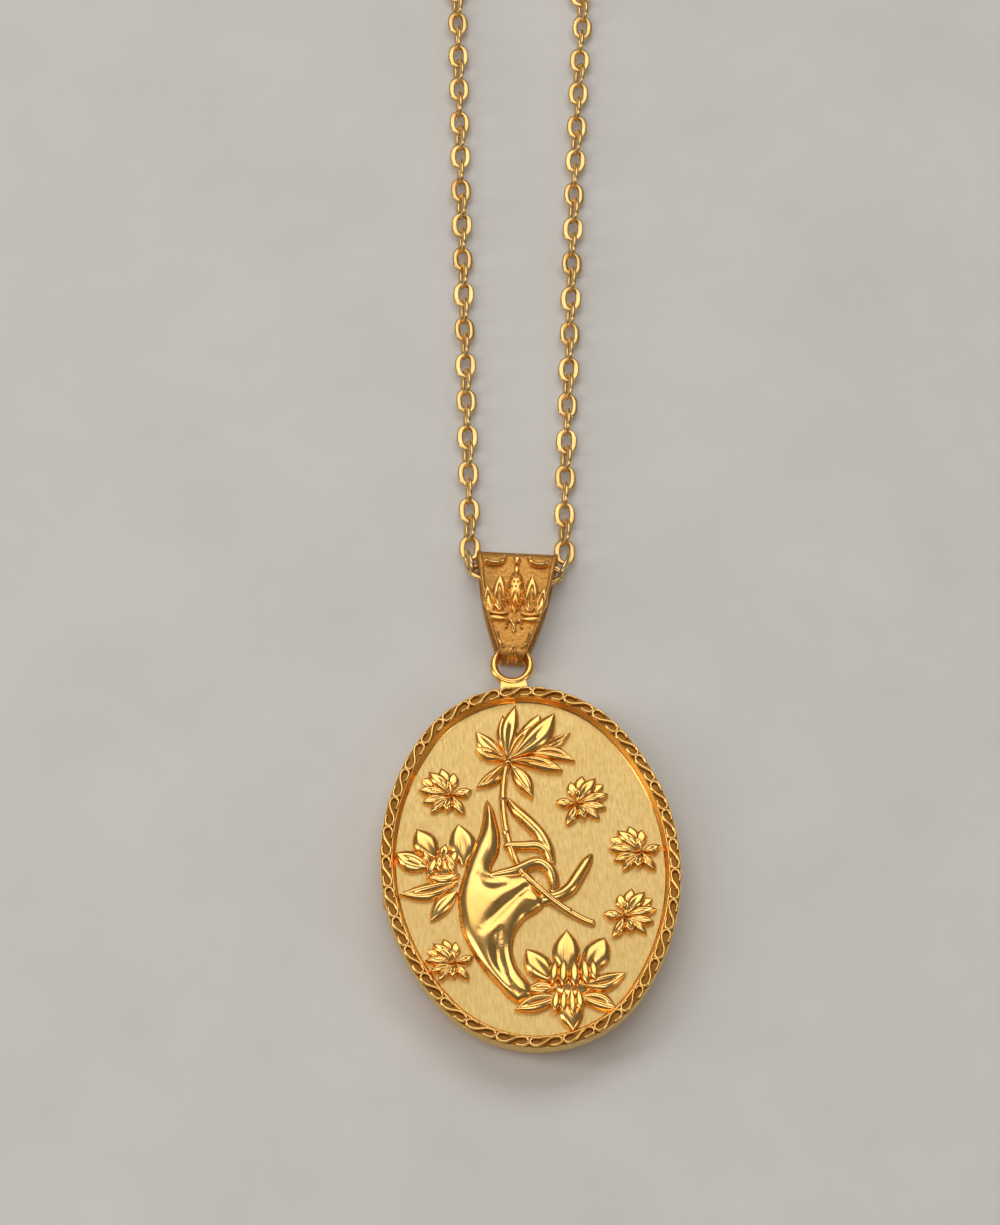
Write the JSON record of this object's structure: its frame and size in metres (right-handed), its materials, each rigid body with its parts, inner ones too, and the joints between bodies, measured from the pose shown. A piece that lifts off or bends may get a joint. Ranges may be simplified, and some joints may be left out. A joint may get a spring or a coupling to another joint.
{
  "type": "locket",
  "caption": "Oval side-hinged locket with a floral relief and a scroll border, hung from a tapered bail on a cable chain with a clasp.",
  "frame": {"origin": "under the middle of the box round the locket, its ring and its bail, on the surface it lies on; the chain and clasp are not counted", "axes": "+Z out of the front cover, the shortest way through the locket; +Y along the long axis towards the bail; +X to the right seen from the front"},
  "size_m": [0.0489, 0.1634, 0.0054],
  "materials": {
    "polished_gold": "polished gold plate",
    "matte_gold": "matt gold plate with fine line grain on the field",
    "chain_gold": "polished gold plate",
    "clear_window": "clear, glossy",
    "photo_card": "blank matt card",
    "spring_steel": "spring steel"
  },
  "bodies": {
    "chain": {"chain_left": "chain_gold", "chain_right": "chain_gold", "chain_coil": "chain_gold", "clasp_jump_ring": "chain_gold", "clasp_body": "chain_gold", "clasp_pin": "chain_gold", "clasp_spring": "spring_steel", "end_ring": "chain_gold"},
    "clasp_lever": {"clasp_lever": "chain_gold"},
    "bail": {"bail": "matte_gold", "bail_ornament": "polished_gold"},
    "case": {"back_cover": "polished_gold", "closing_lip": "polished_gold", "top_ring": "polished_gold", "hinge_pin": "polished_gold", "back_hinge_knuckles": "polished_gold", "back_photo_rim": "polished_gold", "back_window": "clear_window", "back_photo_card": "photo_card"},
    "cover": {"front_cover": "matte_gold", "front_hinge_knuckles": "polished_gold", "front_photo_rim": "polished_gold", "front_window": "clear_window", "front_photo_card": "photo_card", "scroll_border": "polished_gold", "hand_relief": "polished_gold", "held_lotus": "polished_gold", "left_lotus": "polished_gold", "lower_lotus": "polished_gold", "small_blossoms": "polished_gold"}
  },
  "joints": [
    {"name": "bail_swing", "type": "hinge", "parent": "chain", "child": "bail", "pos_m": [0.00133, 0.02591, 0.00185], "axis": [-0.9925, 0.1219, 0], "range_deg": [0, 90]},
    {"name": "ring_swing", "type": "hinge", "parent": "bail", "child": "case", "pos_m": [0.00023, 0.0169, 0.0021], "axis": [-0.9925, 0.1219, 0], "range_deg": [0, 20]},
    {"name": "cover_hinge", "type": "hinge", "parent": "case", "child": "cover", "pos_m": [-0.0144, -0.00826, 0.0024], "axis": [0, -1, 0], "range_deg": [0, 140]},
    {"name": "clasp_lever_hinge", "type": "hinge", "parent": "chain", "child": "clasp_lever", "pos_m": [0.0171, 0.11684, 0.0012], "axis": [0, 0, 1], "range_deg": [0, 12], "stiffness_Nm_per_rad": 0.0005}
  ]
}
